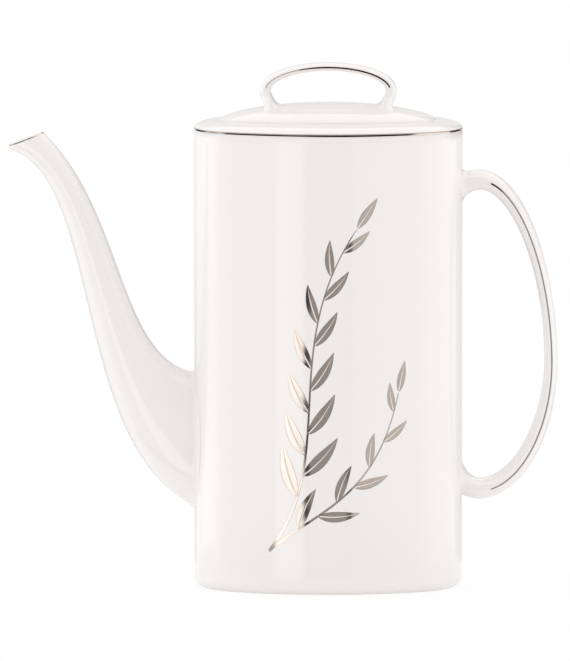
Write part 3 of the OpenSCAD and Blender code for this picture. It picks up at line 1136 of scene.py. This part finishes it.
turn = np.radians(np.linspace(*LOOP_SPAN, LINE_ROWS))
cos = np.cos(turn)
right = np.clip((LOOP_WIDENS[0] - turn) / (LOOP_WIDENS[0] - LOOP_WIDENS[1]), 0, 1)
drift = -LOOP_DRIFT[0] - LOOP_DRIFT[1] * cos - LOOP_DRIFT[2] * np.maximum(cos, 0) ** DRIFT_POWER
width = LOOP_LINE[0] + (LOOP_LINE[1] - LOOP_LINE[0]) * right
lean = LOOP_LEAN * np.sin(turn) ** LEAN_POWER * right
middle, across, thick, deep, _ = loop_shape(turn)
add_lines("loop", "lid", middle + [0, lid_z], across, thick, deep, drift, width, lean)

# %% [markdown]
# ## The sprig
#
# Pots of this kind carry a platinum print on the front. This one has a plain leafy spray: a tall
# branch and a short one from one foot, with slim leaves to the left and right in turn. Each leaf
# is two half blades with a bare rib between them. The print is drawn flat, in millimetres round
# the front and up the wall, as strips along curves. Then it is wrapped on the front's round face
# as a closed film, so that it bends with the wall and mirrors what the wall faces.

# %% Strips on the front
PRINT_FILM = 0.035
PRINT_DIP = 0.06


def on_front(flat, height):
    """Points on the body's front, from (way round, height up the wall) and the height off it."""
    turn = flat[..., 0] / side_r
    out = side_r + height
    return np.stack([out * np.sin(turn), side_c - out * np.cos(turn), flat[..., 1]], -1)


def strip(line, low, high):
    """Closed film along a flat line, between two distances to its left, with rounded edges."""
    along = np.gradient(line, axis=0)
    left = unit(np.stack([-along[:, 1], along[:, 0]], -1))
    across = low[:, None] + (high - low)[:, None] * FACE
    across = np.concatenate([across, across[:, ::-1]], 1)
    height = np.concatenate([PRINT_FILM * FACE_UP, np.full(len(FACE), -PRINT_DIP)])
    flat = line[:, None] + left[:, None] * across[..., None]
    return closed(on_front(flat, height))


# %% Leaves
LEAF_ROWS = 40
LEAF_W = 0.125
LEAF_BELLY = 0.8
LEAF_FULLNESS = 0.9
LEAF_ENDS = (0.012, 0.988)
RIB = 0.22


def leaf(start, direction, length, bend):
    """Two half blades along a rib that turns by bend over its length.

    At a share s of the length the half width is w x sin(pi x s^belly) to the fullness.
    """
    s = np.linspace(0, 1, LEAF_ROWS)
    heading = np.arctan2(direction[1], direction[0]) + bend * s
    steps = np.stack([np.cos(heading), np.sin(heading)], -1) * length / (LEAF_ROWS - 1)
    rib = start + np.cumsum(steps, axis=0) - steps[0]
    swell = np.sin(np.pi * np.clip(s, *LEAF_ENDS) ** LEAF_BELLY) ** LEAF_FULLNESS
    wide = LEAF_W * length * swell
    gap = np.minimum(RIB, wide / 2) * (1 - s)
    return [strip(rib, gap, gap + wide), strip(rib, -gap - wide, -gap)]


# %% Branches
STEM_ROWS = 120
STEM_HALF = (0.75, 0.25)
LEAF_PLACES = (0.2, 0.94)
LEAF_TURN = (48, 32)
LEAF_CURL = 0.55
TIP_LEAF = 1.1
TALL_STEM = ((-27, 20), (6, 62), (-24, 112), (13, 166))
SHORT_STEM = ((-27, 20), (-4, 40), (22, 44), (32, 92))


def branch(points, leaves, longest, shortest):
    """A tapered stem on a cubic curve, with leaves to its left and right and one at its tip.

    Up the stem the leaves grow shorter and turn less far out of its direction.
    """
    t = np.linspace(0, 1, STEM_ROWS)
    line = cubic(np.array(points, float), t)
    half = STEM_HALF[0] + (STEM_HALF[1] - STEM_HALF[0]) * t
    made = [strip(line, -half, half)]
    along = unit(np.gradient(line, axis=0))
    for k, place in enumerate(np.linspace(*LEAF_PLACES, leaves)):
        i = int(place * (STEM_ROWS - 1))
        turn = (-1) ** k * np.radians(LEAF_TURN[0] + (LEAF_TURN[1] - LEAF_TURN[0]) * place)
        cos, sin = np.cos(turn), np.sin(turn)
        heading = along[i] @ np.array([[cos, sin], [-sin, cos]])
        made += leaf(line[i], heading, longest + (shortest - longest) * place, -LEAF_CURL * turn)
    return made + leaf(line[-1], along[-1], shortest * TIP_LEAF, 0.0)


spray = branch(TALL_STEM, leaves=12, longest=27.0, shortest=15.0)
spray += branch(SHORT_STEM, leaves=7, longest=22.0, shortest=13.0)
add_piece("sprig_platinum", spray, platinum, "pot", "platinum")

# %% [markdown]
# ## The studio
#
# The pot stands on a small white board in a pale studio, under an even light. A glossy thing
# shows what is round it, so mirrors see the room as a ring of panels: lit ones at both sides,
# dimmer ones behind and on the camera's side, and a tall lit panel left of the camera with a dark
# gap beside it. A ramp over the compass angle holds the ring. Dark screens stand before it: two
# low in front, one low at each rear corner and a tall one at the right rear, and the floor at the
# left rear is dim. Overhead the room is white. The camera sees plain white all round.

# %% The panels and the screens
AMBIENT = 1.0
OVERHEAD = 2.0
OVERHEAD_Z = (0.6, 0.75)
PANEL_PEAK = 2.0

# A stop is a compass angle in degrees, from the camera's side to the right, and a brightness.
PANELS = (
    (-180, 0.8),
    (-165, 0.78),
    (-151, 0.74),
    (-145, 1.05),
    (-122, 1.1),
    (-110, 1.6),
    (-84, 1.6),
    (-70, 0.72),
    (-27, 0.62),
    (-26, 1.8),
    (-12.5, 1.45),
    (-12, 0.06),
    (-9.6, 0.06),
    (-9.2, 0.4),
    (9.6, 0.44),
    (10, 0.1),
    (11.6, 0.1),
    (12, 0.68),
    (47, 0.76),
    (50, 1.25),
    (123, 1.25),
    (128, 0.5),
    (156, 0.64),
    (180, 0.8),
)

# A screen has the share of light that it leaves, then its span in degrees and its span in height.
# A span is its middle and how far from there it begins and is full.
SCREENS = (
    (0.03, (-8.5, 60, 54), (-0.62, 0.11, 0.09)),
    (0.03, (26, 38, 35), (-0.34, 0.13, 0.11)),
    (0.03, (-134, 22, 18), (-0.29, 0.09, 0.07)),
    (0.03, (130, 24, 20), (-0.31, 0.1, 0.08)),
    (0.03, (134, 32, 26), (0.3, 0.28, 0.2)),
    (0.4, (-126, 50, 38), (-0.48, 0.27, 0.21)),
)
print("ring of", len(PANELS), "stops behind", len(SCREENS), "screens")

# %% The room
WHITE = (1, 1, 1, 1)


def panel_ramp(tree, angle):
    """Brightness of the ring of panels: a ramp over the compass angle, from -pi to pi."""
    turn = remap(tree, angle, (-np.pi, np.pi), UNIT)
    ramp = node(tree, "ShaderNodeValToRGB", {"Fac": turn})
    stops = ramp.color_ramp.elements
    for place, (degrees, level) in enumerate(PANELS):
        inner = 0 < place < len(PANELS) - 1
        stop = stops.new(degrees / 360 + 0.5) if inner else stops[-1 if place else 0]
        stop.color = (*[level / PANEL_PEAK] * 3, 1)
    return maths(tree, "MULTIPLY", ramp.outputs["Color"], PANEL_PEAK)


def within(tree, value, middle, outer, inner):
    """1 where the value lies less than inner from the middle, falling to 0 at outer."""
    away = maths(tree, "ABSOLUTE", maths(tree, "ADD", value, -middle))
    return remap(tree, away, (outer, inner), UNIT)


def mirrored_room(tree):
    """How bright mirrors see the room: the ring, dimmed by the screens, and white overhead."""
    way = tree.nodes.new("ShaderNodeTexCoord").outputs["Generated"]
    x, y, z = node(tree, "ShaderNodeSeparateXYZ", {"Vector": way}).outputs
    angle = maths(tree, "ARCTAN2", x, maths(tree, "MULTIPLY", y, -1.0))
    light = panel_ramp(tree, angle)
    for share, turn, height in SCREENS:
        around = within(tree, angle, *np.radians(turn))
        screen = maths(tree, "MULTIPLY", around, within(tree, z, *height))
        light = maths(tree, "MULTIPLY", light, remap(tree, screen, UNIT, (1.0, share)))
    return remap(tree, z, OVERHEAD_Z, (light, OVERHEAD), interpolation_type="SMOOTHSTEP")


def add_room():
    """The world: even and plain white, but for mirrors, which see the panels."""
    world = bpy.data.worlds.new("room")
    world.use_nodes = True
    tree = world.node_tree
    glossy = tree.nodes.new("ShaderNodeLightPath").outputs["Is Glossy Ray"]
    level = remap(tree, glossy, UNIT, (AMBIENT, mirrored_room(tree)))
    background = tree.nodes["Background"].inputs
    tree.links.new(level, background["Strength"])
    background["Color"].default_value = WHITE
    bpy.context.scene.world = world
    return world


room = add_room()
print("room of", len(room.node_tree.nodes), "nodes, even light", AMBIENT)

# %% The board
BOARD = np.array([200.0, 82.0])
BOARD_RINGS = np.array([0.2, 0.6, 1.0])
BOARD_COLUMNS = 96
BOARD_WHITE = (0.93, 0.93, 0.93, 1)
BOARD_GLOW = 0.88
BOARD_FADE = (0.5, 0.95)
BOARD_LIT = 0.45


def board_finish():
    """White board, lit from below.

    It keeps a soft shadow by the pot and fades into the white room at its edge. Mirrors see it as
    it is lit.
    """
    material, tree, shader, place = new_material("board_white")
    tree.nodes.remove(shader)
    path = tree.nodes.new("ShaderNodeLightPath").outputs
    seen = maths(tree, "MAXIMUM", path["Is Camera Ray"], path["Is Transmission Ray"])
    share = {"Vector": place, "Scale": (*1 / (BOARD * MM), 1.0)}
    share = node(tree, "ShaderNodeMapping", share).outputs[0]
    way = node(tree, "ShaderNodeVectorMath", {0: share}, operation="LENGTH").outputs["Value"]
    fade = remap(tree, way, BOARD_FADE, (BOARD_GLOW, 1.0), interpolation_type="SMOOTHSTEP")
    glow = remap(tree, seen, UNIT, (BOARD_LIT, fade))
    matt = node(tree, "ShaderNodeBsdfDiffuse", {"Color": BOARD_WHITE}).outputs[0]
    plain = node(tree, "ShaderNodeEmission", {"Color": WHITE}).outputs[0]
    mixed = node(tree, "ShaderNodeMixShader", {0: glow, 1: matt, 2: plain}).outputs[0]
    tree.links.new(mixed, tree.nodes["Material Output"].inputs["Surface"])
    return material


def add_board():
    """An oval board top: flat rings out to its edge, closed in the middle."""
    turn = np.linspace(0, 2 * np.pi, BOARD_COLUMNS, endpoint=False)
    edge = np.stack([BOARD[0] * np.cos(turn), BOARD[1] * np.sin(turn), 0 * turn], -1)
    points, faces = skin(BOARD_RINGS[:, None, None] * edge, first=np.zeros(3))
    mesh = bpy.data.meshes.new("board")
    mesh.from_pydata(points * MM, [], [face for block in faces for face in block.tolist()])
    mesh.materials.append(board_finish())
    board = bpy.data.objects.new("board", mesh)
    bpy.context.scene.collection.objects.link(board)


add_board()
print("board of", (2 * BOARD).tolist(), "mm")

# %% Soft boxes
MIDDLE = np.array([0, 0, 110.0])
LAMP_TINT = (0.95, 1.0, 1.04)


def soft_box(name, azimuth, height, distance, size, level):
    """A soft box that faces the pot, with its sizes in mm.

    Its azimuth is in degrees from the camera's side to the right. level is how bright its face
    is, with 1 for white, so its power is pi x area x level. Mirrors see the room's panels in its
    place.
    """
    turn = np.radians(azimuth)
    place = MIDDLE + [distance * np.sin(turn), -distance * np.cos(turn), height]
    data = bpy.data.lights.new(name, "AREA")
    data.shape = "RECTANGLE"
    data.color = LAMP_TINT
    data.size, data.size_y = np.array(size) * MM
    data.energy = np.pi * data.size * data.size_y * level
    lamp = bpy.data.objects.new(name, data)
    lamp.location = place * MM
    lamp.rotation_euler = (np.arctan2(distance, -height), 0, turn)
    lamp.visible_glossy = False
    bpy.context.scene.collection.objects.link(lamp)


soft_box("left_box", azimuth=-95, height=250, distance=1300, size=(1300, 1500), level=0.72)
soft_box("right_box", azimuth=90, height=250, distance=1300, size=(1200, 1500), level=0.54)
soft_box("top_box", azimuth=0, height=1300, distance=150, size=(1200, 1200), level=1.4)
print("lamps:", [lamp.name for lamp in bpy.data.lights])

# %% [markdown]
# ## Finish
#
# The picture is shown as it is, with no film look.

# %% Finish
bpy.context.scene.view_settings.view_transform = "Standard"
